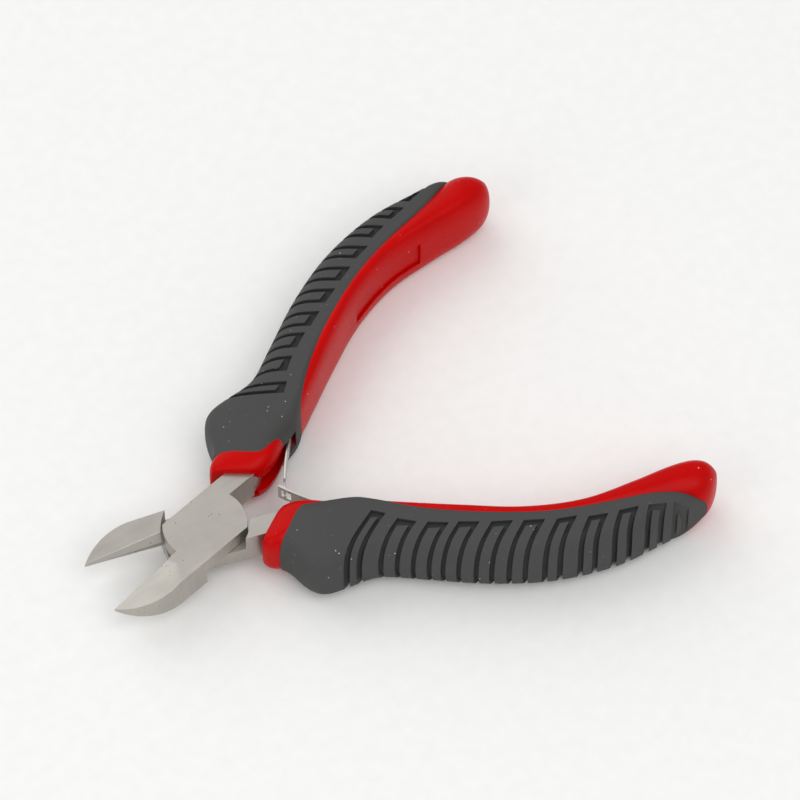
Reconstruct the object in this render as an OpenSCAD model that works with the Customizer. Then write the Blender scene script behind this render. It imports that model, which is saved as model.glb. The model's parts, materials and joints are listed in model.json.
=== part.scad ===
// Small diagonal cutting nippers with sprung two-colour handles, lying open on their grips.
// Each half is drawn closed: pivot on the Z axis, cutting edge along -X, handle towards +X.
// It is then swung open about the pivot. The lower half is the upper one turned over.

/* [Opening] */
// Angle that each half swings open from closed, in degrees
open_half = 13.7; // [10:0.1:15]
// Gap left between the jaw tips when the handles are squeezed
tip_gap = 0.1; // [0.06:0.02:0.3]

/* [Head] */
// Thickness of the forged head
head_t = 7; // [6:0.1:9]
// Radius of the round joint plate on each half
plate_r = 7.9; // [7:0.1:9]
// Gap between a joint plate and the round shoulder of the other half
shoulder_gap = 0.35; // [0.2:0.05:0.6]
// Gap between the two joint plates, where they slide on each other
lap_gap = 0.08; // [0.04:0.01:0.2]
// Distance of the tang's outer edge from the centre line
tang_out = 5.5; // [5:0.1:6.5]
// Width of the tang
tang_w = 4.0; // [3:0.1:4.6]

/* [Jaws] */
// Length from the pivot to the jaw tip
jaw_l = 23.3; // [20:0.1:27]
// Width of the upper half's jaw, from its cutting edge to its back
upper_jaw_w = 6.1; // [5:0.1:7]
// Width of the lower half's jaw, which is ground a little narrower
lower_jaw_w = 5.5; // [5:0.1:7]
// Radius of the curved back of the upper half's jaw
upper_back_r = 11.3; // [10:0.1:16]
// Radius of the curved back of the lower half's jaw
lower_back_r = 13; // [10:0.1:16]
// Gap between one cutting edge and the centre line beside the joint
root_relief = 0.45; // [0.2:0.05:0.8]
// Length of the upper half's ground faces, from the tip
upper_grind_l = 11.5; // [9:0.1:12]
// Length of the lower half's ground faces, from the tip
lower_grind_l = 9.4; // [8:0.1:12]
// Height of a ground face above the cutting edge at the tip
grind_tip_h = 0.25; // [0.15:0.05:0.5]
// Radius of the grinding run-out beside the joint
runout_r = 6; // [3:0.1:8]

/* [Pivot rivet] */
// Radius of the rivet's shank
rivet_r = 2.3; // [1.8:0.1:2.8]
// Radius of the rivet's flush countersunk heads
rivet_head_r = 3.1; // [2.9:0.1:4]
// Depth of the countersink
rivet_sink = 0.8; // [0.4:0.1:1.4]
// Radial running clearance round the rivet
rivet_clear = 0.04; // [0.02:0.01:0.1]

/* [Grips] */
// Thickness of the grips over their flat ribs
grip_t = 14; // [13:0.1:16]
// Length of a grip along the centre line, closed
grip_l = 84.4; // [82:0.1:92]
// Greatest distance of a grip's outer side from the centre line, closed
grip_reach = 28.8; // [26:0.1:30]
// Distance from the pivot to the front of the grip's collar
collar_x = 8.6; // [8:0.1:10]
// Depth of the grooves between the ribs
groove_depth = 0.8; // [0.4:0.1:1.2]
// Width of a groove
groove_w = 1.1; // [0.7:0.1:1.5]
// Spacing of the groove loops along the grip
loop_pitch = 5.5; // [4.8:0.1:6.5]
// Number of groove loops
loop_count = 10; // [6:1:10]
// Depth of the bare panel on the grip's inner side
panel_depth = 0.5; // [0.2:0.1:0.8]

/* [Return spring] */
// Thickness of the spring strip
leaf_t = 0.4; // [0.3:0.05:0.6]
// Height of the spring strip
leaf_h = 3.6; // [3:0.1:4.4]
// Length of a leaf from its root pin to where the two cross
leaf_l = 19; // [18.2:0.1:19.6]
// Radius to which the strip is bowed
leaf_bow_r = 55; // [40:1:90]
// Radius of the pin that holds a leaf's root
pin_r = 0.6; // [0.5:0.1:0.8]
// Radial clearance between a root pin and the leaf's rolled eye
pin_clear = 0.05; // [0.03:0.01:0.1]

/* [Hidden] */
$fn = 96;

// One overrun for every cut
over = 1;
half_t = head_t / 2;
half_gap = tip_gap / 2;
flat_h = grip_t / 2;
shoulder_r = plate_r + shoulder_gap;
edge_end = plate_r + shoulder_gap / 2;
edge_slope = (root_relief - half_gap) / (jaw_l - edge_end);

// Ground faces of the jaws, as angles
upper_roll = 11.5;
upper_pitch = 10;
upper_hone = 80;
lower_roll = 14;
lower_pitch = 5;
lower_hone = 48;
lower_hone_l = jaw_l / 2;
full_hone_l = jaw_l - plate_r - shoulder_gap / 4;
runout_swing = 12;

// Tang: a straight neck, then a tail that follows the bowed grip
tang_in = tang_out - tang_w;
neck_share = 1.85;
neck_x = neck_share * plate_r;
tail_l = 30;
tail_rise = 26;
tail_share = 0.8;
tail_w = tail_share * tang_w;
tang_fit = 0.05;

// Rails of the grip, closed, as shares of the grip's length and reach: [along, out]
core_in_shares = [[0.071, 0.031], [0.088, 0.010], [0.129, 0.031], [0.188, 0.110], [0.254, 0.172],
    [0.336, 0.274], [0.443, 0.413], [0.568, 0.549], [0.698, 0.611], [0.822, 0.569], [0.905, 0.528],
    [0.965, 0.520], [1.000, 0.540], [1.012, 0.585]];
core_out_shares = [[0, 0.257], [0.010, 0.306], [0.044, 0.344], [0.117, 0.403], [0.218, 0.500],
    [0.307, 0.601], [0.419, 0.750], [0.550, 0.865], [0.692, 0.914], [0.828, 0.875], [0.918, 0.835],
    [0.955, 0.785], [0.982, 0.720], [1.002, 0.640]];
sleeve_in_shares = [[0.140, 0.062], [0.155, 0.074], [0.172, 0.085], [0.200, 0.100], [0.231, 0.128],
    [0.270, 0.215], [0.365, 0.400], [0.490, 0.550], [0.615, 0.665], [0.739, 0.722], [0.846, 0.742],
    [0.922, 0.780], [0.955, 0.800]];
sleeve_out_shares = [[0.031, 0.333], [0.046, 0.436], [0.068, 0.542], [0.108, 0.615], [0.171, 0.605],
    [0.236, 0.600], [0.336, 0.718], [0.461, 0.870], [0.597, 0.975], [0.739, 0.990], [0.852, 0.925],
    [0.926, 0.855], [0.974, 0.790]];

// Sections of the grip at the same places: half height, place of the crest, and how square the
// inner and the outer side are (small is square, 1 is round)
core_form_shares = [[0.66, 0.42, 0.55, 0.45], [0.76, 0.42, 0.55, 0.45], [0.84, 0.40, 0.55, 0.6],
    [0.84, 0.34, 0.55, 1.2], [0.88, 0.28, 0.55, 1.6], [0.91, 0.24, 0.6, 1.7], [1.0, 0.22, 0.6, 1.7],
    [1.0, 0.22, 0.6, 1.7], [1.0, 0.26, 0.6, 1.7], [1.0, 0.30, 0.65, 1.7], [1.0, 0.36, 0.7, 1.3],
    [0.94, 0.42, 0.8, 0.9], [0.78, 0.42, 0.9, 0.9], [0.52, 0.42, 0.9, 0.9]];
sleeve_form_shares = [[0.80, 0.42, 0.6, 0.6], [0.90, 0.42, 0.6, 0.6], [0.97, 0.42, 0.6, 0.6],
    [1.02, 0.42, 0.55, 0.65], [1.04, 0.42, 0.5, 0.7], [1.05, 0.42, 0.4, 0.8], [1.05, 0.42, 0.35, 0.85],
    [1.05, 0.42, 0.35, 0.85], [1.05, 0.42, 0.35, 0.85], [1.05, 0.42, 0.35, 0.85],
    [1.02, 0.42, 0.4, 0.85], [0.84, 0.42, 0.6, 0.9], [0.52, 0.42, 0.8, 0.9]];
ring_n = 20;
rings_per_span = 2;

// Grooves: each loop is a narrow U round one rib, its legs swept towards the head. The plain
// band between the loops and the sleeve's inner edge narrows towards the tip.
band_first = 3.7;
band_last = 2.4;
first_share = 0.239;
first_loop = collar_x + grip_l * first_share;
loop_share = 0.42;
lean_first = 1.15;
lean_last = 0.25;
lean_widening = 1 / 3;
leg_steps = 4;

// Panel: its ends as places along the core's stations, and its height
panel_from = 6.6;
panel_to = 8.5;
panel_steps = 6;
panel_h = 4;

// Spring: the root pins stand in the grip cores beside the tang
root_along = 31.8;
root_out = 7.4;
mouth_share = 0.317;
mouth_clear = 0.26;
eye_r = pin_r + pin_clear + leaf_t;
bow_fn = 360;
window_l = 2.2;
window_h = 1.9;
tongue_h = 1.4;
window_ahead = 0.8;
leaf_end = 0.55;
tongue_beyond = 1.0;
tongue_l = 3.2;
slot_h = head_t + 2 * tang_fit;
pocket_h = leaf_h + 2 * leaf_t;
pin_seat = 1.5;
eye_room = eye_r + leaf_t;

function swing(p, a) = [p[0] * cos(a) - p[1] * sin(a), p[0] * sin(a) + p[1] * cos(a)];
function curve_at(p, s) =
    let (n = len(p) - 1, i = min(floor(s), n - 1), t = s - i,
         a = p[max(i - 1, 0)], b = p[i], c = p[i + 1], d = p[min(i + 2, n)])
    (2 * b + (c - a) * t + (2 * a - 5 * b + 4 * c - d) * t * t + (3 * b - a - 3 * c + d) * t * t * t) / 2;
function rail(shares) = [for (p = shares) [collar_x + grip_l * p[0], grip_reach * p[1]]];
function ring(inner, outer, form, top) =
    let (crest = inner + form[1] * (outer - inner))
    [for (k = [0 : ring_n - 1])
        let (c = cos(360 * k / ring_n), s = sin(360 * k / ring_n),
             side = c < 0 ? inner : outer,
             square_by = c < 0 ? form[2] : form[3],
             u = pow(abs(c), square_by),
             z = flat_h * form[0] * sign(s) * pow(abs(s), square_by))
        [crest[0] + (side[0] - crest[0]) * u, crest[1] + (side[1] - crest[1]) * u, max(-top, min(top, z))]];
function rings(inner, outer, forms, top) =
    [for (j = [0 : (len(inner) - 1) * rings_per_span])
        let (s = j / rings_per_span)
        ring(curve_at(inner, s), curve_at(outer, s), curve_at(forms, s), top)];

module loft(list) {
    last = len(list) - 1;
    polyhedron(
        points = [for (r = list) for (p = r) p],
        faces = concat(
            [[for (k = [0 : ring_n - 1]) k]],
            [[for (k = [ring_n - 1 : -1 : 0]) last * ring_n + k]],
            [for (j = [0 : last - 1]) for (k = [0 : ring_n - 1]) for (half = [0, 1])
                let (a = j * ring_n + k, b = j * ring_n + (k + 1) % ring_n)
                half == 0 ? [a, a + ring_n, b] : [b, a + ring_n, b + ring_n]]));
}

core_in = rail(core_in_shares);
core_out = rail(core_out_shares);
sleeve_in = rail(sleeve_in_shares);
sleeve_out = rail(sleeve_out_shares);

module core_body() {
    loft(rings(core_in, core_out, core_form_shares, flat_h));
}

module sleeve_body() {
    loft(rings(sleeve_in, sleeve_out, sleeve_form_shares, flat_h));
}

module upper() {
    rotate([0, 0, open_half]) children();
}

module lower() {
    rotate([0, 0, -open_half]) rotate([180, 0, 0]) children();
}

module tang_plan(fit) {
    translate([0, tang_in - fit]) square([neck_x, tang_w + 2 * fit]);
    translate([neck_x, tang_in + tang_w / 2]) {
        circle(d = tang_w + 2 * fit);
        rotate(tail_rise) polygon([[0, -tang_w / 2 - fit], [tail_l + fit, -tail_w / 2 - fit],
                                   [tail_l + fit, tail_w / 2 + fit], [0, tang_w / 2 + fit]]);
    }
}

module blank(width, back_r) {
    // The jaw's back is an arc that ends at the tip and runs out square to the jaw
    back_y = back_r - width;
    back_x = jaw_l - sqrt(back_r * back_r - pow(back_y + half_gap, 2));
    difference() {
        intersection() {
            union() {
                cylinder(r = plate_r, h = head_t);
                linear_extrude(head_t) polygon([[-jaw_l - over, over * edge_slope - half_gap],
                    [-edge_end, -root_relief], [-rivet_r, -root_relief], [-rivet_r, -plate_r],
                    [-jaw_l - over, -plate_r]]);
            }
            union() {
                translate([-back_x, back_y, -over]) cylinder(r = back_r, h = head_t + 2 * over);
                translate([-back_x, -width, -over])
                    cube([back_x + plate_r + over, width + tang_out, head_t + 2 * over]);
            }
        }
        translate([-jaw_l, tang_out, -over]) cube([2 * jaw_l, plate_r, head_t + 2 * over]);
    }
    linear_extrude(head_t) tang_plan(0);
}

module ground_face(height, roll, pitch, length, radius, turn) {
    translate([-jaw_l, 0, height]) rotate([-roll, -pitch, 0]) translate([length, 0, 0])
        rotate([90, 0, turn]) translate([0, 0, -jaw_l]) linear_extrude(2 * jaw_l) {
            translate([0, radius]) circle(r = radius);
            translate([-2 * jaw_l, 0]) square([2 * jaw_l, jaw_l]);
            translate([-2 * jaw_l, radius]) square([2 * jaw_l + radius, jaw_l]);
        }
}

module rivet_form(grow, reach) {
    r = rivet_r + grow;
    head = rivet_head_r + grow;
    rotate_extrude() polygon([[0, -reach], [head, -reach], [head, -half_t],
        [r, -half_t + rivet_sink], [r, half_t - rivet_sink], [head, half_t],
        [head, reach], [0, reach]]);
}

module jaw_half(width, back_r, roll, pitch, length, hone, hone_lengths) {
    difference() {
        translate([0, 0, -half_t]) blank(width, back_r);
        translate([0, 0, -half_t - over]) cylinder(r = shoulder_r, h = half_t + over + lap_gap / 2);
        rivet_form(rivet_clear, half_t + over);
        for (side = [0, 1]) mirror([0, 0, side]) {
            ground_face(grind_tip_h, roll, pitch, length, runout_r, runout_swing);
            translate([-jaw_l, 0, 0]) rotate([-hone, 0, 0]) translate([-over, -jaw_l, 0])
                cube([hone_lengths[side] + over, 2 * jaw_l, jaw_l]);
        }
    }
}

// A shallow bare panel on the grip's inner side, following its bow
module panel_plan() {
    line = [for (j = [0 : panel_steps])
        curve_at(core_in, panel_from + (panel_to - panel_from) * j / panel_steps)];
    polygon(concat([for (p = line) p - [0, over]],
                   [for (j = [panel_steps : -1 : 0]) line[j] + [0, panel_depth]]));
}

// Room for the tang, and the pocket in which the leaf swings
module grip_room() {
    translate([0, 0, -slot_h / 2]) linear_extrude(slot_h) {
        tang_plan(tang_fit);
        translate([0, -tang_w]) square([neck_x, tang_in + tang_w]);
    }
    translate([0, 0, -pocket_h / 2]) linear_extrude(pocket_h)
        polygon([[neck_x - over, -tang_w], [mouth[0], -tang_w], mouth,
                 [root_along, root_out - eye_r], [root_along, root_out + eye_room],
                 [neck_x - over, tang_in]]);
    translate([root_along, root_out, -pocket_h / 2]) cylinder(r = eye_room, h = pocket_h);
}

module grip_core() {
    difference() {
        core_body();
        grip_room();
        spring_pin();
        translate([0, 0, -panel_h / 2]) linear_extrude(panel_h) panel_plan();
    }
}

module spring_pin() {
    translate([root_along, root_out, -pocket_h / 2 - pin_seat])
        cylinder(r = pin_r, h = pocket_h + 2 * pin_seat);
}

// How far out a rail lies at a place along the grip, and the line where the groove loops end
function y_at(p, x, i = 0) =
    i > len(p) - 3 || p[i + 1][0] >= x
        ? p[i][1] + (p[i + 1][1] - p[i][1]) * (x - p[i][0]) / (p[i + 1][0] - p[i][0])
        : y_at(p, x, i + 1);
function band_at(j) = band_last + (band_first - band_last) * pow(1 - j / (loop_count - 1), 3);
function loop_start(x, band) = [x, y_at(sleeve_in, x) + band];
// A leg leaves the loop's closed end leaning towards the head and turns square to the outer side
function leg_at(start, lean, t) =
    let (run = y_at(sleeve_out, start[0]) + over - start[1])
    [start[0] - lean * run * (t - pow(t, 4) / 4), start[1] + run * t];
module leg(start, lean) {
    line = [for (j = [0 : leg_steps]) leg_at(start, lean, j / leg_steps)];
    wide = groove_w * (1 + lean * lean_widening);
    polygon(concat(line, [for (j = [leg_steps : -1 : 0]) line[j] + [wide, 0]]));
}
module groove_loops() {
    for (j = [0 : loop_count - 1]) {
        x = first_loop + j * loop_pitch;
        lean = lean_first + (lean_last - lean_first) * j / (loop_count - 1);
        near = loop_start(x, band_at(j));
        far = loop_start(x + loop_pitch * loop_share, band_at(j));
        leg(near, lean);
        leg(far, lean);
        polygon([near, far + [groove_w, 0], far + groove_w * [1 - lean, 1], near + groove_w * [-lean, 1]]);
    }
}

module grip_sleeve() {
    difference() {
        sleeve_body();
        core_body();
        grip_room();
        difference() {
            translate([0, 0, -flat_h - over]) linear_extrude(grip_t + 2 * over) groove_loops();
            loft(rings(sleeve_in, [for (p = sleeve_out) p - [0, groove_depth]],
                       sleeve_form_shares, flat_h - groove_depth));
        }
    }
}

root_open = swing([root_along, root_out], open_half);
leaf_angle = asin(root_open[1] / leaf_l);
leaf_fall = leaf_angle - open_half;

// The pocket's mouth lies along the leaf as it stands open, with a clearance below its chord
mouth = [root_along, root_out - mouth_clear] - mouth_share * leaf_l * [cos(leaf_fall), sin(leaf_fall)];

module leaf_place(side) {
    translate([root_open[0], side * root_open[1], 0]) rotate([0, 0, side * (180 + leaf_angle)])
        mirror([0, side > 0 ? 1 : 0, 0]) children();
}

// A bowed strip from one place to another along the leaf, measured from its root pin.
// The bow's chord is the line from the root pin to the crossing.
module strip(from, to, height) {
    intersection() {
        translate([leaf_l / 2, -sqrt(leaf_bow_r * leaf_bow_r - leaf_l * leaf_l / 4), -height / 2])
            difference() {
                cylinder(r = leaf_bow_r + leaf_t / 2, h = height, $fn = bow_fn);
                translate([0, 0, -over])
                    cylinder(r = leaf_bow_r - leaf_t / 2, h = height + 2 * over, $fn = bow_fn);
            }
        translate([from, -leaf_l / 2, -height]) cube([to - from, leaf_l, 2 * height]);
    }
}

module leaf_eye() {
    difference() {
        union() {
            translate([0, 0, -leaf_h / 2]) cylinder(r = eye_r, h = leaf_h);
            children();
        }
        translate([0, 0, -leaf_h / 2 - over]) cylinder(r = pin_r + pin_clear, h = leaf_h + 2 * over);
    }
}

module tongue_leaf() {
    leaf_eye() {
        strip(0, leaf_l + tongue_beyond - tongue_l, leaf_h);
        strip(0, leaf_l + tongue_beyond, tongue_h);
    }
}

module window_leaf() {
    leaf_eye() difference() {
        strip(0, leaf_l + window_ahead + leaf_end, leaf_h);
        translate([leaf_l + window_ahead - window_l, -leaf_l / 2, -window_h / 2])
            cube([window_l, leaf_l, window_h]);
    }
}

// The origin is the middle of the open nippers' length, on the ground
grip_end = max([for (r = rings(core_in, core_out, core_form_shares, flat_h)) for (p = r)
                swing(p, open_half)[0]]);
tip_end = swing([-jaw_l, -half_gap], open_half)[0];
pivot_x = -(tip_end + grip_end) / 2;
module place() {
    translate([pivot_x, 0, flat_h]) children();
}

module upper_jaw_half() {
    color("silver") place() upper()
        jaw_half(upper_jaw_w, upper_back_r, upper_roll, upper_pitch, upper_grind_l, upper_hone,
                 [full_hone_l, full_hone_l]);
}

module lower_jaw_half() {
    color("lightgray") place() lower()
        jaw_half(lower_jaw_w, lower_back_r, lower_roll, lower_pitch, lower_grind_l, lower_hone,
                 [full_hone_l, lower_hone_l]);
}

module pivot_rivet() {
    color("gray") place() upper() rivet_form(0, half_t);
}

module upper_grip_core() {
    color("red") place() upper() grip_core();
}

module lower_grip_core() {
    color("red") place() lower() grip_core();
}

module upper_grip_sleeve() {
    color("dimgray") place() upper() grip_sleeve();
}

module lower_grip_sleeve() {
    color("dimgray") place() lower() grip_sleeve();
}

module tongue_spring_leaf() {
    color("gainsboro") place() leaf_place(1) tongue_leaf();
}

module window_spring_leaf() {
    color("gainsboro") place() leaf_place(-1) window_leaf();
}

module upper_spring_pin() {
    color("darkgray") place() upper() spring_pin();
}

module lower_spring_pin() {
    color("darkgray") place() lower() spring_pin();
}

upper_jaw_half();
lower_jaw_half();
pivot_rivet();
upper_grip_core();
lower_grip_core();
upper_grip_sleeve();
lower_grip_sleeve();
tongue_spring_leaf();
window_spring_leaf();
upper_spring_pin();
lower_spring_pin();
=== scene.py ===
import json
import math
import bmesh
import bpy
from mathutils import Matrix, Vector
from mathutils.bvhtree import BVHTree


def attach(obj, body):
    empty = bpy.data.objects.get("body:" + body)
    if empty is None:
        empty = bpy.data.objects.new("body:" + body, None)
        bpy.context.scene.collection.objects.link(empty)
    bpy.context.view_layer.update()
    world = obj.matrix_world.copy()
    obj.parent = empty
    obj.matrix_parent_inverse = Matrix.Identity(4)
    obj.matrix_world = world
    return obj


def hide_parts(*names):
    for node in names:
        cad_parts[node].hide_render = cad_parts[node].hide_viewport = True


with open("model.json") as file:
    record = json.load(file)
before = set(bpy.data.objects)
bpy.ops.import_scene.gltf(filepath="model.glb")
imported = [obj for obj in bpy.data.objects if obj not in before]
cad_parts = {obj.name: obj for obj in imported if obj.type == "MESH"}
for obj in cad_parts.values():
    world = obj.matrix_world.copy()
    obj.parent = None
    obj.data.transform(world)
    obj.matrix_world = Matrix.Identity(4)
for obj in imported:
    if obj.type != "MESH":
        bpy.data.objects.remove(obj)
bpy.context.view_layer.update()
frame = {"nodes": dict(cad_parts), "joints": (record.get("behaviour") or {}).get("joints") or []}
pivot = Vector(frame["joints"][0]["pos_m"])
mm = 0.001
print("frame loaded, pivot at", [round(c, 6) for c in pivot])


# Colours are given as sRGB hex and turned to linear here
def hexColour(text):
    parts = [int(text[i:i + 2], 16) / 255 for i in (1, 3, 5)]
    linear = [p / 12.92 if p <= 0.04045 else ((p + 0.055) / 1.055) ** 2.4 for p in parts]
    return linear + [1.0]


# Sets a node's inputs: each a value, or (node, output) for a link
def setInputs(tree, node, inputs):
    for name, value in inputs.items():
        if isinstance(value, tuple) and isinstance(value[0], bpy.types.Node):
            tree.links.new(value[0].outputs[value[1]], node.inputs[name])
        else:
            node.inputs[name].default_value = value


# A new node with its settings and its inputs
def addNode(tree, kind, settings=None, inputs=None):
    node = tree.nodes.new("ShaderNode" + kind)
    for name, value in (settings or {}).items():
        setattr(node, name, value)
    setInputs(tree, node, inputs or {})
    return node


def newMaterial(name):
    material = bpy.data.materials.new(name)
    material.use_nodes = True
    tree = material.node_tree
    return material, tree, tree.nodes["Principled BSDF"]


# Sizes in the looks are in mm. Grain, lines and scratches are drawn coarser than the real
# ones, which are too fine to show. A range is the lowest and highest value in, and what
# they become.
rangeNames = ("From Min", "From Max", "To Min", "To Max")

# Small specks scattered where the cloud is dense: their share is 0 between them
speck = {"strength": 0.85, "softEdge": 0.5, "cloudStep": 0.05}


def speckShare(tree, where, cloud, look):
    edge, start = look["speckSize"] / look["speckSpacing"], look["speckFrom"]
    dotRange = (edge * speck["softEdge"], edge, speck["strength"], 0.0)
    cloudRange = (start, start + speck["cloudStep"], 0.0, 1.0)
    dots = addNode(tree, "TexVoronoi", None,
                   {"Vector": where, "Scale": 1 / (look["speckSpacing"] * mm)})
    mask = addNode(tree, "MapRange", {"interpolation_type": "SMOOTHSTEP"},
                   {"Value": (dots, "Distance"), **dict(zip(rangeNames, dotRange))})
    chosen = addNode(tree, "MapRange", None,
                     {"Value": (cloud, "Fac"), **dict(zip(rangeNames, cloudRange))})
    return addNode(tree, "Math", {"operation": "MULTIPLY"},
                   {0: (mask, "Result"), 1: (chosen, "Result")})


# Forged tool steel, tumbled and satin nickel plated: an even soft grey with a fine grain,
# long faint grinding lines and a few dark pits
steelLook = {
    "light": "#bfbbb4", "dark": "#aeaaa3", "pit": "#3a352f",
    "roughRange": (0.3, 0.7, 0.36, 0.52), "grainSize": 0.12, "cloudSize": 5.0,
    "lineSize": 0.16, "lineLength": 6.0, "lineAngle": 20, "lineShare": 0.45,
    "bump": 0.12, "bumpDepth": 0.02,
    "speckSpacing": 1.4, "speckSize": 0.15, "speckFrom": 0.5,
}


def satinForgedSteel(name, look):
    material, tree, shader = newMaterial(name)
    where = (addNode(tree, "TexCoord"), "Object")
    cloud = addNode(tree, "TexNoise", None,
                    {"Vector": where, "Scale": 1 / (look["cloudSize"] * mm), "Detail": 3.0})
    along, across = 1 / (look["lineLength"] * mm), 1 / (look["lineSize"] * mm)
    turned = addNode(tree, "Mapping", None,
                     {"Vector": where, "Rotation": (0.0, 0.0, math.radians(look["lineAngle"])),
                      "Scale": (along, across, along)})
    lines = addNode(tree, "TexNoise", None,
                    {"Vector": (turned, "Vector"), "Scale": 1.0, "Detail": 2.0})
    grain = addNode(tree, "TexNoise", None,
                    {"Vector": where, "Scale": 1 / (look["grainSize"] * mm), "Detail": 2.0})
    tone = addNode(tree, "Mix", {"data_type": "RGBA"},
                   {"Factor": (cloud, "Fac"), "A": hexColour(look["dark"]),
                    "B": hexColour(look["light"])})
    pitShare = speckShare(tree, where, cloud, look)
    colour = addNode(tree, "Mix", {"data_type": "RGBA"},
                     {"Factor": (pitShare, "Value"), "A": (tone, "Result"),
                      "B": hexColour(look["pit"])})
    rough = addNode(tree, "MapRange", None,
                    {"Value": (lines, "Fac"), **dict(zip(rangeNames, look["roughRange"]))})
    height = addNode(tree, "Mix", {"data_type": "FLOAT"},
                     {"Factor": look["lineShare"], "A": (grain, "Fac"), "B": (lines, "Fac")})
    bump = addNode(tree, "Bump", None,
                   {"Height": (height, "Result"), "Strength": look["bump"],
                    "Distance": look["bumpDepth"] * mm})
    setInputs(tree, shader, {"Base Color": (colour, "Result"), "Roughness": (rough, "Result"),
                             "Normal": (bump, "Normal"), "Metallic": 1.0})
    return material


# Red injection-moulded plastic, glossy and handled: a deep even red under broad soft
# highlights, with faint rubbed patches and specks of pale dust
redLook = {
    "deep": "#b80000", "bright": "#cb0101", "dust": "#e9b7b0", "ior": 1.49, "specular": 0.1,
    "roughRange": (0.35, 0.7, 0.27, 0.42), "cloudSize": 7.0, "peelSize": 0.9,
    "scratchSize": 0.12, "scratchLength": 3.5, "scratchShare": 0.3,
    "bump": 0.3, "bumpDepth": 0.06,
    "speckSpacing": 2.1, "speckSize": 0.2, "speckFrom": 0.5,
}


def mouldedRedPlastic(name, look):
    material, tree, shader = newMaterial(name)
    where = (addNode(tree, "TexCoord"), "Object")
    cloud = addNode(tree, "TexNoise", None,
                    {"Vector": where, "Scale": 1 / (look["cloudSize"] * mm), "Detail": 4.0})
    peel = addNode(tree, "TexNoise", None,
                   {"Vector": where, "Scale": 1 / (look["peelSize"] * mm), "Detail": 3.0})
    along, across = 1 / (look["scratchLength"] * mm), 1 / (look["scratchSize"] * mm)
    turned = addNode(tree, "Mapping", None, {"Vector": where, "Scale": (along, across, across)})
    scratch = addNode(tree, "TexNoise", None,
                      {"Vector": (turned, "Vector"), "Scale": 1.0, "Detail": 2.0,
                       "Distortion": 0.4})
    tone = addNode(tree, "Mix", {"data_type": "RGBA"},
                   {"Factor": (cloud, "Fac"), "A": hexColour(look["deep"]),
                    "B": hexColour(look["bright"])})
    dustShare = speckShare(tree, where, cloud, look)
    colour = addNode(tree, "Mix", {"data_type": "RGBA"},
                     {"Factor": (dustShare, "Value"), "A": (tone, "Result"),
                      "B": hexColour(look["dust"])})
    rough = addNode(tree, "MapRange", None,
                    {"Value": (scratch, "Fac"), **dict(zip(rangeNames, look["roughRange"]))})
    height = addNode(tree, "Mix", {"data_type": "FLOAT"},
                     {"Factor": look["scratchShare"], "A": (peel, "Fac"), "B": (scratch, "Fac")})
    bump = addNode(tree, "Bump", None,
                   {"Height": (height, "Result"), "Strength": look["bump"],
                    "Distance": look["bumpDepth"] * mm})
    setInputs(tree, shader, {"Base Color": (colour, "Result"), "Roughness": (rough, "Result"),
                             "Normal": (bump, "Normal"), "IOR": look["ior"],
                             "Specular IOR Level": look["specular"]})
    return material


# Soft grey moulded rubber: matt, with a fine spark-eroded grain, darker in the grooves with
# painted shade and dirt, with pale scuffs where it has been rubbed and specks of pale dust
rubberLook = {
    # groove is the colour of the painted shade and dirt on the groove floors
    "face": "#4b4c4b", "tint": "#424342", "groove": "#363736", "scuff": "#8a8a88",
    "dust": "#c9c8c4", "ior": 1.5, "specular": 0.25,
    "roughRange": (0.35, 0.65, 0.62, 0.8), "cloudSize": 6.0, "grainSize": 0.22,
    "scuffSize": 1.3, "scuffRange": (0.62, 0.76, 0.0, 0.5), "bump": 0.35, "bumpDepth": 0.06,
    "speckSpacing": 1.5, "speckSize": 0.16, "speckFrom": 0.54,
}


def softGreyRubber(name, look):
    material, tree, shader = newMaterial(name)
    where = (addNode(tree, "TexCoord"), "Object")
    cloud = addNode(tree, "TexNoise", None,
                    {"Vector": where, "Scale": 1 / (look["cloudSize"] * mm), "Detail": 4.0})
    grain = addNode(tree, "TexNoise", None,
                    {"Vector": where, "Scale": 1 / (look["grainSize"] * mm), "Detail": 2.0})
    scuff = addNode(tree, "TexNoise", None,
                    {"Vector": where, "Scale": 1 / (look["scuffSize"] * mm), "Detail": 6.0,
                     "Roughness": 0.7})
    tone = addNode(tree, "Mix", {"data_type": "RGBA"},
                   {"Factor": (cloud, "Fac"), "A": hexColour(look["tint"]),
                    "B": hexColour(look["face"])})
    rubbed = addNode(tree, "MapRange", {"interpolation_type": "SMOOTHSTEP"},
                     {"Value": (scuff, "Fac"), **dict(zip(rangeNames, look["scuffRange"]))})
    scuffed = addNode(tree, "Mix", {"data_type": "RGBA"},
                      {"Factor": (rubbed, "Result"), "A": (tone, "Result"),
                       "B": hexColour(look["scuff"])})
    dustShare = speckShare(tree, where, cloud, look)
    dusted = addNode(tree, "Mix", {"data_type": "RGBA"},
                     {"Factor": (dustShare, "Value"), "A": (scuffed, "Result"),
                      "B": hexColour(look["dust"])})
    # Painted shade and dirt: the deeper a point lies in a groove, the darker its colour
    depth = addNode(tree, "Attribute", {"attribute_name": "grooveDirtAndShade"})
    colour = addNode(tree, "Mix", {"data_type": "RGBA"},
                     {"Factor": (depth, "Fac"), "A": (dusted, "Result"),
                      "B": hexColour(look["groove"])})
    rough = addNode(tree, "MapRange", None,
                    {"Value": (cloud, "Fac"), **dict(zip(rangeNames, look["roughRange"]))})
    bump = addNode(tree, "Bump", None,
                   {"Height": (grain, "Fac"), "Strength": look["bump"],
                    "Distance": look["bumpDepth"] * mm})
    setInputs(tree, shader, {"Base Color": (colour, "Result"), "Roughness": (rough, "Result"),
                             "Normal": (bump, "Normal"), "IOR": look["ior"],
                             "Specular IOR Level": look["specular"]})
    return material


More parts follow.
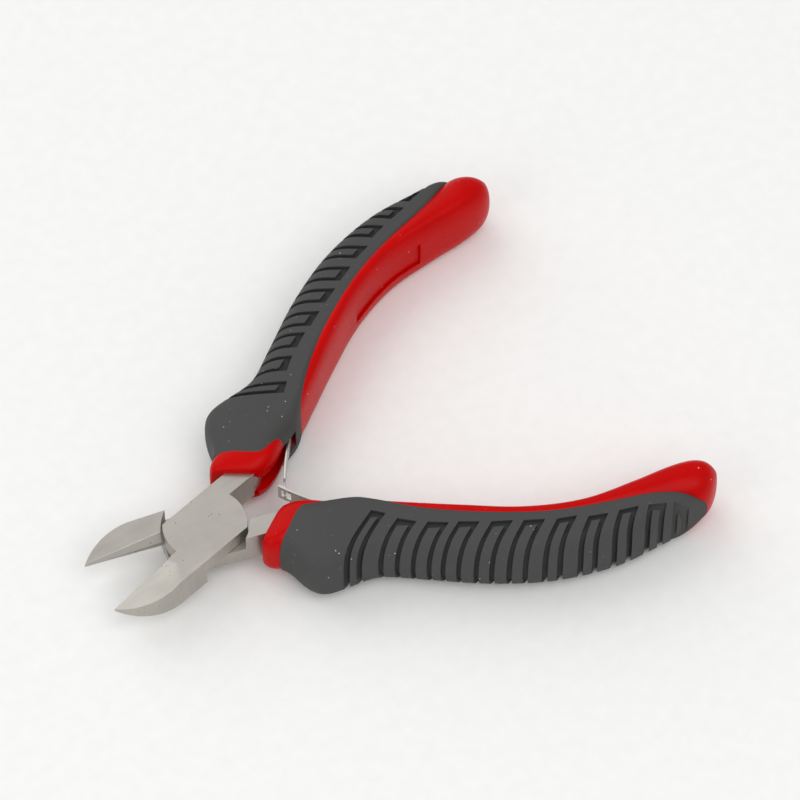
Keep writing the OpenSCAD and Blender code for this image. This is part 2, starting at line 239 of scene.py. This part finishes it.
# Cold-rolled spring strip: brighter than the head, with rolling lines along the strip
springLook = {
    "light": "#d6d3ce", "dark": "#b3afa8", "roughRange": (0.3, 0.7, 0.2, 0.38),
    "lineSize": 0.14, "lineLength": 8.0, "bump": 0.2, "bumpDepth": 0.02,
}


def rolledSpringSteel(name, look):
    material, tree, shader = newMaterial(name)
    where = (addNode(tree, "TexCoord"), "Object")
    along, across = 1 / (look["lineLength"] * mm), 1 / (look["lineSize"] * mm)
    turned = addNode(tree, "Mapping", None, {"Vector": where, "Scale": (along, along, across)})
    lines = addNode(tree, "TexNoise", None,
                    {"Vector": (turned, "Vector"), "Scale": 1.0, "Detail": 3.0})
    tone = addNode(tree, "Mix", {"data_type": "RGBA"},
                   {"Factor": (lines, "Fac"), "A": hexColour(look["dark"]),
                    "B": hexColour(look["light"])})
    rough = addNode(tree, "MapRange", None,
                    {"Value": (lines, "Fac"), **dict(zip(rangeNames, look["roughRange"]))})
    bump = addNode(tree, "Bump", None,
                   {"Height": (lines, "Fac"), "Strength": look["bump"],
                    "Distance": look["bumpDepth"] * mm})
    setInputs(tree, shader, {"Base Color": (tone, "Result"), "Roughness": (rough, "Result"),
                             "Normal": (bump, "Normal"), "Metallic": 1.0})
    return material


steel = satinForgedSteel("satinForgedSteel", steelLook)
redPlastic = mouldedRedPlastic("mouldedRedPlastic", redLook)
rubber = softGreyRubber("softGreyRubber", rubberLook)
springSteel = rolledSpringSteel("rolledSpringSteel", springLook)
print("materials made")


# The mesh of an object with its modifiers worked in
def frozenMesh(obj):
    graph = bpy.context.evaluated_depsgraph_get()
    return bpy.data.meshes.new_from_object(obj.evaluated_get(graph))


def newPiece(name, mesh):
    piece = bpy.data.objects.new(name, mesh)
    bpy.context.scene.collection.objects.link(piece)
    return piece


# A piece's finish, its body and the solid that it stands for
def finishPiece(piece, material, body, node):
    piece.data.materials.clear()
    piece.data.materials.append(material)
    for face in piece.data.polygons:
        face.use_smooth = True
        face.material_index = 0
    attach(piece, body)
    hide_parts(node)


# A point on a smooth line through the given places
def curveAt(points, s):
    last = len(points) - 1
    i = min(int(s), last - 1)
    t = s - i
    a, b, c, d = points[max(i - 1, 0)], points[i], points[i + 1], points[min(i + 2, last)]
    return [(2 * q + (r - p) * t + (2 * p - 5 * q + 4 * r - u) * t ** 2
             + (3 * q - p - 3 * r + u) * t ** 3) / 2
            for p, q, r, u in zip(a, b, c, d)]


# The grips are shaped closed, in mm: pivot at the origin, jaws to -X, handle bowed to +Y.
# Each rail place is [along, out] as shares; each form is half height, crest place, and how
# square the inner and the outer side are. Edges that turn more than sharpAngle stay sharp.
grip = {
    "collarX": 8.6, "length": 84.4, "reach": 28.8, "halfHeight": 7.0, "openAngle": 13.7,
    "segments": 28, "sectionGap": 1.8, "railSteps": 40, "endHold": 0.5, "smoothing": 2,
    "thinTip": 14.0,
}
coreShape = {
    "sharpAngle": 40,
    "inner": [[0.071, 0.031], [0.088, 0.010], [0.129, 0.031], [0.188, 0.110], [0.254, 0.172],
              [0.336, 0.274], [0.443, 0.413], [0.568, 0.549], [0.698, 0.611], [0.822, 0.569],
              [0.905, 0.528], [0.965, 0.515], [1.000, 0.550], [1.012, 0.615]],
    "outer": [[0, 0.257], [0.010, 0.306], [0.044, 0.344], [0.117, 0.403], [0.218, 0.500],
              [0.307, 0.601], [0.419, 0.750], [0.550, 0.865], [0.692, 0.914], [0.828, 0.885],
              [0.918, 0.845], [0.958, 0.832], [0.990, 0.770], [1.009, 0.680]],
    "form": [[0.66, 0.42, 0.55, 0.45], [0.76, 0.42, 0.55, 0.45], [0.84, 0.40, 0.55, 0.6],
             [0.84, 0.34, 0.55, 1.2], [0.88, 0.28, 0.55, 1.6], [0.91, 0.24, 0.6, 1.7],
             [1.0, 0.22, 0.6, 1.7], [1.0, 0.22, 0.6, 1.7], [1.0, 0.26, 0.6, 1.7],
             [1.0, 0.34, 0.65, 1.2], [1.0, 0.38, 0.7, 0.95], [0.96, 0.42, 0.75, 0.85],
             [0.80, 0.45, 0.85, 0.9], [0.44, 0.5, 0.95, 0.95]],
}
sleeveShape = {
    "sharpAngle": 50,
    "inner": [[0.112, 0.040], [0.128, 0.054], [0.150, 0.072], [0.188, 0.095], [0.231, 0.128],
              [0.270, 0.205], [0.365, 0.376], [0.490, 0.522], [0.615, 0.637], [0.739, 0.694],
              [0.846, 0.716], [0.915, 0.768], [0.957, 0.812]],
    "outer": [[0.031, 0.345], [0.051, 0.392], [0.072, 0.530], [0.105, 0.616], [0.168, 0.607],
              [0.236, 0.600], [0.336, 0.718], [0.461, 0.870], [0.597, 0.975], [0.739, 0.990],
              [0.852, 0.922], [0.925, 0.868], [0.970, 0.826]],
    "form": [[0.80, 0.42, 0.6, 0.6], [0.90, 0.42, 0.6, 0.6], [0.97, 0.42, 0.6, 0.6],
             [1.02, 0.42, 0.55, 0.65], [1.04, 0.42, 0.5, 0.7], [1.05, 0.42, 0.4, 0.8],
             [1.05, 0.42, 0.35, 0.85], [1.05, 0.42, 0.35, 0.85], [1.05, 0.42, 0.35, 0.85],
             [1.05, 0.42, 0.35, 0.85], [0.99, 0.42, 0.38, 0.85], [0.84, 0.42, 0.5, 0.85],
             [0.30, 0.42, 0.8, 0.9]],
}


def railPoint(share):
    return [grip["collarX"] + grip["length"] * share[0], grip["reach"] * share[1]]


# A point of the section at a place of the grip, at an angle round it
def sectionPoint(shape, s, turn):
    inner = railPoint(curveAt(shape["inner"], s))
    outer = railPoint(curveAt(shape["outer"], s))
    tall, crestShare, innerSquare, outerSquare = curveAt(shape["form"], s)
    c, t = math.cos(turn), math.sin(turn)
    side, square = (inner, innerSquare) if c < 0 else (outer, outerSquare)
    crest = [p + crestShare * (q - p) for p, q in zip(inner, outer)]
    spread = abs(c) ** square
    z = grip["halfHeight"] * tall * math.copysign(abs(t) ** square, t)
    z = max(-grip["halfHeight"], min(grip["halfHeight"], z))
    return Vector([crest[i] + (side[i] - crest[i]) * spread for i in (0, 1)] + [z])


# Places for the sections: evenly spaced along the grip, and one close to each end
def sectionPlaces(shape):
    fine = grip["railSteps"]
    steps = fine * (len(shape["inner"]) - 1)
    travel, before = [0.0], None
    for i in range(steps + 1):
        ends = [Vector(railPoint(curveAt(shape[rail], i / fine))) for rail in ("inner", "outer")]
        middle = (ends[0] + ends[1]) / 2
        if before is not None:
            travel.append(travel[-1] + (middle - before).length)
        before = middle
    count = round(travel[-1] / grip["sectionGap"])
    wanted = [travel[-1] * i / count for i in range(count + 1)]
    wanted[1:1] = [grip["endHold"]]
    wanted[-1:-1] = [travel[-1] - grip["endHold"]]
    places = []
    for w in wanted:
        i = next((k for k in range(steps) if travel[k + 1] >= w), steps - 1)
        gap = travel[i + 1] - travel[i]
        places.append((i + (w - travel[i]) / gap) / fine if gap else i / fine)
    return places


# A section is a circle pressed to shape; it is extruded from place to place and smoothed
def gripSkin(name, shape):
    places = sectionPlaces(shape)
    bm = bmesh.new()
    turn = bm.verts.layers.float.new("turn")
    bmesh.ops.create_circle(bm, cap_ends=True, segments=grip["segments"], radius=1.0)
    for v in bm.verts:
        v[turn] = math.atan2(v.co.y, v.co.x)
        v.co = sectionPoint(shape, places[0], v[turn])
    bm.faces.ensure_lookup_table()
    endCap = bm.faces[0]
    for s in places[1:]:
        made = bmesh.ops.extrude_face_region(bm, geom=[endCap, *endCap.edges])["geom"]
        endCap = next(g for g in made if isinstance(g, bmesh.types.BMFace))
        for v in endCap.verts:
            v.co = sectionPoint(shape, s, v[turn])
    caps = [f for f in bm.faces if len(f.verts) > 4]  # only the two ends have so many sides
    bmesh.ops.recalc_face_normals(bm, faces=bm.faces[:])
    bmesh.ops.inset_individual(bm, faces=caps, thickness=grip["endHold"], use_even_offset=True)
    mesh = bpy.data.meshes.new(name)
    bm.to_mesh(mesh)
    bm.free()
    piece = newPiece(name, mesh)
    smooth = piece.modifiers.new("Smooth", "SUBSURF")
    smooth.levels = smooth.render_levels = grip["smoothing"]
    piece.data = frozenMesh(piece)
    piece.modifiers.clear()
    print(name, "skin has", len(piece.data.vertices), "points, caps", len(caps))
    return piece


# How far out a rail lies at a place along the grip
def railOut(shape, rail, x):
    points = [railPoint(p) for p in shape[rail]]
    for (x0, y0), (x1, y1) in zip(points, points[1:]):
        if x1 >= x or (x1, y1) == tuple(points[-1]):
            return y0 + (y1 - y0) * (x - x0) / (x1 - x0)


# A flat outline stood up into a block between two heights
def prism(bm, plan, low, high):
    face = bm.faces.new([bm.verts.new((x, y, low)) for x, y in plan])
    made = bmesh.ops.extrude_face_region(bm, geom=[face])["geom"]
    bmesh.ops.translate(bm, vec=(0, 0, high - low),
                        verts=[g for g in made if isinstance(g, bmesh.types.BMVert)])


# A closed shape from its bmesh, with its faces turned outwards
def pieceFrom(bm, name):
    bm.normal_update()
    bmesh.ops.recalc_face_normals(bm, faces=bm.faces[:])
    mesh = bpy.data.meshes.new(name)
    bm.to_mesh(mesh)
    bm.free()
    return newPiece(name, mesh)


# Takes the other shape away from a piece, or joins it, and removes it
def combine(piece, other, operation="DIFFERENCE"):
    work = piece.modifiers.new("Combine", "BOOLEAN")
    work.operation, work.solver, work.object = operation, "EXACT", other
    piece.data = frozenMesh(piece)
    piece.modifiers.clear()
    bpy.data.objects.remove(other)


# A copy of a skin that lies an even depth under it, and less near the grip's thin tip
def sunkCopy(piece, depth):
    bm = bmesh.new()
    bm.from_mesh(piece.data)
    bm.normal_update()
    end = max(v.co.x for v in bm.verts)
    moves = [(v, v.normal * -depth * min(1.0, (end - v.co.x) / grip["thinTip"]))
             for v in bm.verts]
    for v, move in moves:
        v.co += move
    mesh = bpy.data.meshes.new("sunkSkin")
    bm.to_mesh(mesh)
    bm.free()
    return newPiece("sunkSkin", mesh)


# Takes a skin away inside the cutter's outlines, down to the sunk copy
def carve(piece, cutter, depth):
    combine(cutter, sunkCopy(piece, depth))
    combine(piece, cutter)


# Grooves of the sleeve: narrow loops round every second rib, legs swept towards the head.
# A leg is made wider as it leans, twice as wide at leanForDouble, so that it isn't pinched.
groove = {
    "starts": [(29.4, 8.9), (33.4, 12.1), (38.5, 14.6), (43.9, 16.3), (49.7, 18.2), (55.4, 19.8),
               (61.3, 21.4), (67.0, 22.7), (72.8, 23.2), (78.4, 23.7), (83.2, 24.2)],
    "spans": [3.0, 3.8, 4.1, 4.1, 4.1, 4.1, 3.9, 3.8, 3.8, 3.5, 3.0],
    "width": 1.0, "depth": 0.8, "leanFirst": 1.15, "leanLast": 0.5, "leanForDouble": 6.0,
    "fadePower": 4, "steps": 8, "height": 9.0, "overrun": 1.0, "shortest": 3.2, "endSlope": 0.75,
}


# One loop's outline: in along its left side, out along its right side, and back round the rib
# that it holds. A leg's lean fades out towards its outer end.
def loopOutline(j):
    last = len(groove["starts"]) - 1
    lean = groove["leanFirst"] + (groove["leanLast"] - groove["leanFirst"]) * (j / last) ** 2
    width, span = groove["width"], groove["spans"][j]
    wide = width * (1 + lean / groove["leanForDouble"])
    startX, startY = groove["starts"][j]
    rise = railOut(sleeveShape, "inner", startX + span) - railOut(sleeveShape, "inner", startX)
    slope = groove["endSlope"] * rise / span
    power = groove["fadePower"]
    sides = []
    for shift, nudge, drop in ((0, 0, 0), (0, wide, slope * wide + width),
                               (span - wide, 0, width), (span - wide, wide, slope * wide)):
        x, y = startX + shift, startY + slope * shift
        run = max(railOut(sleeveShape, "outer", x) + groove["overrun"] - y, groove["shortest"])
        steps = [(drop + (run - drop) * k / groove["steps"]) / run
                 for k in range(groove["steps"] + 1)]
        sides.append([Vector((x + nudge - lean * run * (s - s ** power / power), y + run * s))
                      for s in steps])
    outerLeft, innerLeft, innerRight, outerRight = sides
    return outerLeft[::-1] + outerRight + innerRight[::-1] + innerLeft


def cutGrooves(piece):
    plain = BVHTree.FromPolygons([v.co for v in piece.data.vertices],
                                 [f.vertices for f in piece.data.polygons])
    bm = bmesh.new()
    for j in range(len(groove["starts"])):
        prism(bm, loopOutline(j), -groove["height"], groove["height"])
    carve(piece, pieceFrom(bm, "grooveCutter"), groove["depth"])
    # Painted shade and dirt for the groove floors: each point's depth under the uncut skin, as a
    # share of the groove's depth
    share = piece.data.attributes.new("grooveDirtAndShade", "FLOAT", "POINT")
    for v, value in zip(piece.data.vertices, share.data):
        value.value = min(1.0, plain.find_nearest(v.co)[3] / groove["depth"])
    print("grooves cut, sleeve has", len(piece.data.polygons), "faces")


# The bare panel on the inner side of each grip, following its bow: its cutter reaches below
# and above the inner rail
panel = {"from": 55.5, "to": 74.5, "halfHeight": 3.0, "depth": 0.5, "steps": 8,
         "below": 2.0, "above": 3.0}


def cutPanel(piece):
    line = []
    for k in range(panel["steps"] + 1):
        x = panel["from"] + (panel["to"] - panel["from"]) * k / panel["steps"]
        line.append(Vector((x, railOut(coreShape, "inner", x))))
    bm = bmesh.new()
    low = [p - Vector((0, panel["below"])) for p in line]
    high = [p + Vector((0, panel["above"])) for p in line[::-1]]
    prism(bm, low + high, -panel["halfHeight"], panel["halfHeight"])
    carve(piece, pieceFrom(bm, "panelCutter"), panel["depth"])


# Room in the grip beside the tang, and the pocket in which a spring leaf swings. The sleeve's
# is wider by sleeveRoom, so that the two walls don't lie in one place.
pocket = {
    "plan": [(13.6, -4.0), (27.0, -4.0), (27.0, 3.5), (31.8, 6.35), (31.8, 8.85), (13.6, 1.5)],
    "halfHeight": 2.2, "root": (31.8, 7.4), "rootRadius": 1.45,
    "mouthPlan": [(0.0, -4.0), (14.6, -4.0), (14.6, 1.5), (0.0, 1.5)], "mouthHalfHeight": 3.55,
    "segments": 48, "sleeveRoom": 0.06,
}


def cutPocket(piece, grow):
    high, mouthHigh = pocket["halfHeight"] + grow, pocket["mouthHalfHeight"] + grow
    radius = pocket["rootRadius"] + grow
    bm = bmesh.new()
    prism(bm, pocket["plan"], -high, high)
    cutter = pieceFrom(bm, "pocketCutter")
    bm = bmesh.new()
    prism(bm, pocket["mouthPlan"], -mouthHigh, mouthHigh)
    combine(cutter, pieceFrom(bm, "mouthCutter"), "UNION")
    bm = bmesh.new()
    bmesh.ops.create_cone(bm, cap_ends=True, segments=pocket["segments"], radius1=radius,
                          radius2=radius, depth=2 * high,
                          matrix=Matrix.Translation((*pocket["root"], 0)))
    combine(cutter, pieceFrom(bm, "rootCutter"), "UNION")
    combine(piece, cutter)


# A half is swung open about the pivot; the lower half is the upper one turned over
def placeHalf(turnedOver):
    angle = math.radians(grip["openAngle"])
    swing = Matrix.Rotation(angle, 4, "Z")
    if turnedOver:
        swing = Matrix.Rotation(-angle, 4, "Z") @ Matrix.Rotation(math.pi, 4, "X")
    return Matrix.Translation(pivot) @ swing @ Matrix.Scale(mm, 4)


# One shape, set on both halves
def gripPair(master, material, parts, sharpAngle):
    for name, node, body in parts:
        mesh = master.data.copy()
        mesh.transform(placeHalf(body == "lower_half"))
        piece = newPiece(name, mesh)
        finishPiece(piece, material, body, node)
        mesh.set_sharp_from_angle(angle=math.radians(sharpAngle))
    bpy.data.objects.remove(master)


coreMaster = gripSkin("gripCore", coreShape)
cutPanel(coreMaster)
cutPocket(coreMaster, 0.0)
gripPair(coreMaster, redPlastic,
         [("upperCoreSkin", "upper_grip_core", "upper_half"),
          ("lowerCoreSkin", "lower_grip_core", "lower_half")], coreShape["sharpAngle"])
print("grip cores made")

sleeveMaster = gripSkin("gripSleeve", sleeveShape)
cutGrooves(sleeveMaster)
cutPocket(sleeveMaster, pocket["sleeveRoom"])
gripPair(sleeveMaster, rubber,
         [("upperSleeveSkin", "upper_grip_sleeve", "upper_half"),
          ("lowerSleeveSkin", "lower_grip_sleeve", "lower_half")], sleeveShape["sharpAngle"])
print("grip sleeves made")


# Steel pieces keep the exact shapes, with their corners broken as a tumbled forging's are. The
# last value is the broken corner's width in mm.
steelParts = {
    "upperJawSkin": ("upper_jaw_half", "upper_half", steel, "head_steel", 0.12),
    "lowerJawSkin": ("lower_jaw_half", "lower_half", steel, "head_steel", 0.12),
    "rivetSkin": ("pivot_rivet", "upper_half", steel, "head_steel", 0.0),
    "tongueLeafSkin": ("tongue_spring_leaf", "tongue_leaf", springSteel, "spring_steel", 0.04),
    "windowLeafSkin": ("window_spring_leaf", "window_leaf", springSteel, "spring_steel", 0.04),
    "upperPinSkin": ("upper_spring_pin", "upper_half", springSteel, "spring_steel", 0.05),
    "lowerPinSkin": ("lower_spring_pin", "lower_half", springSteel, "spring_steel", 0.05),
}
# Points closer than merge, in mm, become one, and so do faces that turn less than flatAngle
steelEdges = {"merge": 0.0005, "flatAngle": 0.5, "cornerAngle": 28, "sharpAngle": 40,
              "cornerSteps": 2, "flatWeight": 100}
# The rivet's skin is grown a little to close its seam, and no edge within radius of its
# middle is broken
rivetRoom = {"radius": 3.4, "growth": 0.04, "axisRoom": 0.001}
# The lower jaw's upper faces run on to the joint: each is its start height at the tip, roll and
# pitch in degrees, in the half's own closed frame, where they lie underneath
lowerFaces = {"tip": -23.3, "to": -5.0, "planes": [(0.235, 14.0, 5.0), (-0.015, 48.0, 0.0)],
              "before": 1.0, "width": 30.0, "height": 20.0}


def runOnFaces(piece):
    tip, before = lowerFaces["tip"], lowerFaces["before"]
    size = (lowerFaces["to"] - tip + before, lowerFaces["width"], lowerFaces["height"])
    for height, roll, pitch in lowerFaces["planes"]:
        bm = bmesh.new()
        bmesh.ops.create_cube(bm, size=1.0)
        bmesh.ops.translate(bm, verts=bm.verts, vec=(0.5, 0.0, 0.5))
        bmesh.ops.scale(bm, verts=bm.verts, vec=size)
        turn = (Matrix.Rotation(math.radians(-pitch), 4, "Y")
                @ Matrix.Rotation(math.radians(-roll), 4, "X"))
        upright = (Matrix.Translation((tip, 0, height)) @ turn
                   @ Matrix.Translation((-before, 0, 0)))
        bm.transform(placeHalf(True) @ Matrix.Scale(-1, 4, (0, 0, 1)) @ upright)
        combine(piece, pieceFrom(bm, "faceCutter"))


def growRivet(bm):
    for v in bm.verts:
        away = Vector((v.co.x - pivot.x, v.co.y - pivot.y, 0))
        if away.length > rivetRoom["axisRoom"] * mm:
            v.co += away.normalized() * rivetRoom["growth"] * mm


# A solid's mesh with its points merged, its flat faces joined and its sharp edges bevelled
def brokenCorners(name, node, body, material, width):
    bm = bmesh.new()
    bm.from_mesh(frame["nodes"][node].data)
    bmesh.ops.remove_doubles(bm, verts=bm.verts[:], dist=steelEdges["merge"] * mm)
    if name == "rivetSkin":
        growRivet(bm)
    mesh = bpy.data.meshes.new(name)
    bm.to_mesh(mesh)
    bm.free()
    piece = newPiece(name, mesh)
    if name == "lowerJawSkin":
        runOnFaces(piece)
    bm = bmesh.new()
    bm.from_mesh(piece.data)
    bmesh.ops.remove_doubles(bm, verts=bm.verts[:], dist=steelEdges["merge"] * mm)
    bmesh.ops.dissolve_limit(bm, angle_limit=math.radians(steelEdges["flatAngle"]),
                             verts=bm.verts[:], edges=bm.edges[:])
    weight = bm.edges.layers.float.new("bevel_weight_edge")
    cornerAngle = math.radians(steelEdges["cornerAngle"])
    for e in bm.edges:
        nearRivet = all((v.co - pivot).xy.length < rivetRoom["radius"] * mm for v in e.verts)
        if len(e.link_faces) == 2 and e.calc_face_angle(0) > cornerAngle and not nearRivet:
            e[weight] = 1.0
    for f in bm.faces:
        f.smooth = True
    bm.to_mesh(piece.data)
    bm.free()
    piece.data.set_sharp_from_angle(angle=math.radians(steelEdges["sharpAngle"]))
    if width:
        corner = piece.modifiers.new("Corners", "BEVEL")
        corner.limit_method, corner.width = "WEIGHT", width * mm
        corner.segments = steelEdges["cornerSteps"]
    flats = piece.modifiers.new("Flats", "WEIGHTED_NORMAL")
    flats.weight, flats.keep_sharp = steelEdges["flatWeight"], True
    piece.data = frozenMesh(piece)
    piece.modifiers.clear()
    finishPiece(piece, material, body, node)


for name, (node, body, material, slot, width) in steelParts.items():
    brokenCorners(name, node, body, material, width)
print("steel parts made")

# Pale paper ground, a large sweep of plain matt white
ground = {"size": 4.0, "colour": "#fbfbfa", "shade": "#f4f4f2", "grain": 3.0, "roughness": 0.9}
bm = bmesh.new()
bmesh.ops.create_grid(bm, x_segments=1, y_segments=1, size=ground["size"] / 2)
groundMesh = bpy.data.meshes.new("ground")
bm.to_mesh(groundMesh)
bm.free()
groundPiece = newPiece("ground", groundMesh)
material, tree, shader = newMaterial("matWhitePaper")
where = (addNode(tree, "TexCoord"), "Object")
fibre = addNode(tree, "TexNoise", None, {"Vector": where, "Scale": 1 / (ground["grain"] * mm)})
tone = addNode(tree, "Mix", {"data_type": "RGBA"},
               {"Factor": (fibre, "Fac"), "A": hexColour(ground["shade"]),
                "B": hexColour(ground["colour"])})
setInputs(tree, shader, {"Base Color": (tone, "Result"), "Roughness": ground["roughness"]})
groundMesh.materials.append(material)
print("ground laid")

# Soft studio light: a pale room and three large soft boxes, each its place and size in metres
# and its power in watts
studio = {
    "room": "#ffffff", "roomStrength": 0.5,
    "boxes": [("frontBox", (0.09, -0.79, 1.39), 1.3, 9.0),
              ("backBox", (-0.26, 1.17, 1.07), 1.7, 9.0),
              ("leftBox", (-1.3, -0.3, 0.8), 1.0, 4.0)],
}
world = bpy.data.worlds.new("studioRoom")
bpy.context.scene.world = world
world.use_nodes = True
room = world.node_tree.nodes["Background"]
room.inputs["Color"].default_value = hexColour(studio["room"])
room.inputs["Strength"].default_value = studio["roomStrength"]
for name, place, size, power in studio["boxes"]:
    light = bpy.data.lights.new(name, "AREA")
    light.shape, light.size, light.energy = "SQUARE", size, power
    lamp = bpy.data.objects.new(name, light)
    lamp.location = place
    lamp.rotation_euler = (-Vector(place)).to_track_quat("-Z", "Y").to_euler()
    bpy.context.scene.collection.objects.link(lamp)
print("lights set")

# The camera stands where the photograph was taken from, measured from the pivot in mm
view = {"azimuth": -31.915, "elevation": 54.704, "across": -36.02, "up": -24.87,
        "distance": 833.95, "lens": 202.5, "clipStart": 50.0}
az, el = math.radians(view["azimuth"]), math.radians(view["elevation"])
back = Vector((math.sin(az) * math.cos(el), -math.cos(az) * math.cos(el), math.sin(el)))
right = Vector((0, 0, 1)).cross(back).normalized()
above = back.cross(right)
place = pivot + (back * view["distance"] - right * view["across"] - above * view["up"]) * mm
camera = bpy.data.objects.new("photoCamera", bpy.data.cameras.new("photoCamera"))
camera.data.lens = view["lens"]
camera.data.clip_start = view["clipStart"] * mm
camera.matrix_world = Matrix.Translation(place) @ Matrix((right, above, back)).transposed().to_4x4()
bpy.context.scene.collection.objects.link(camera)
bpy.context.scene.camera = camera
bpy.context.scene.view_settings.view_transform = "Standard"

print("scene ready")
